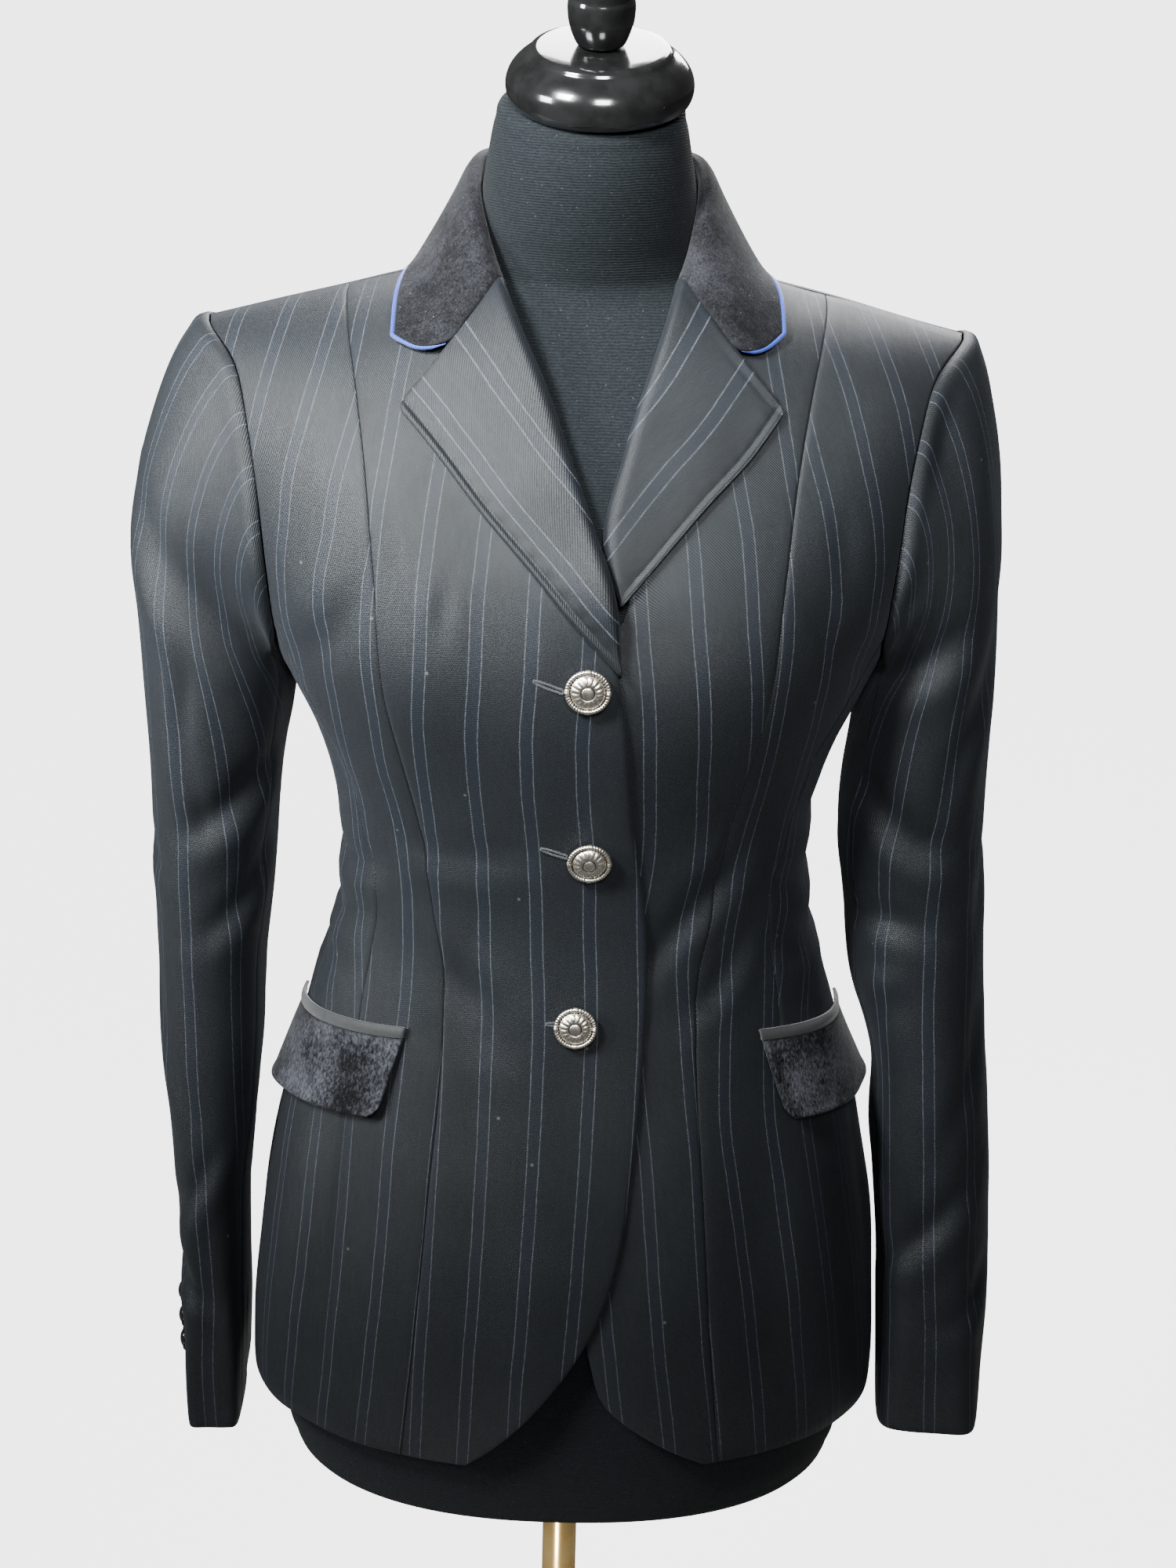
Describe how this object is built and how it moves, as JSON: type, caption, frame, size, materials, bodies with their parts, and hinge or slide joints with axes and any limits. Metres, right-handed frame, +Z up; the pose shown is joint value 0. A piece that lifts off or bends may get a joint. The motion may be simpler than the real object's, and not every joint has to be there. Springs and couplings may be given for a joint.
{
  "type": "equestrian show coat on dress form",
  "caption": "Fitted single-breasted riding show coat in dark pinstriped cloth with velvet collar and pocket flaps, on a limbless dress form with a turned cap, a pole and a round base.",
  "frame": {"origin": "centre of the base's underside, on the floor", "axes": "+Z up along the pole; the coat's front faces -Y; the wearer's left is +X"},
  "size_m": [0.4826, 0.36, 1.5525],
  "materials": {
    "twill": "near-black charcoal twill with fine pale pinstripes in pairs",
    "velvet": "short charcoal nap, lighter where it is brushed",
    "piping": "bright royal blue cord",
    "welt": "plain dark grey-brown cloth",
    "jersey": "dark grey-green knitted cover with a little lint",
    "silver": "polished silver-coloured metal, darker in its hollows",
    "glossy": "glossy black",
    "lacquer": "turned wood with a deep black gloss lacquer",
    "brass": "polished brass",
    "painted": "black paint, satin gloss"
  },
  "bodies": {
    "root": {"back_left": "twill", "back_right": "twill", "base": "painted", "collar": "velvet", "collar_piping": "piping", "cuff_button_left_1": "glossy", "cuff_button_left_2": "glossy", "cuff_button_left_3": "glossy", "cuff_button_right_1": "glossy", "cuff_button_right_2": "glossy", "cuff_button_right_3": "glossy", "dress_form": "jersey", "finial": "lacquer", "front_button_1": "silver", "front_button_2": "silver", "front_button_3": "silver", "front_left": "twill", "front_right": "twill", "lapel_left": "twill", "lapel_right": "twill", "neck_cap": "lacquer", "pocket_flap_left": "velvet", "pocket_flap_right": "velvet", "pocket_welt_left": "welt", "pocket_welt_right": "welt", "pole": "brass", "side_left": "twill", "side_right": "twill", "top_sleeve_left": "twill", "top_sleeve_right": "twill", "under_sleeve_left": "twill", "under_sleeve_right": "twill"}
  },
  "joints": []
}
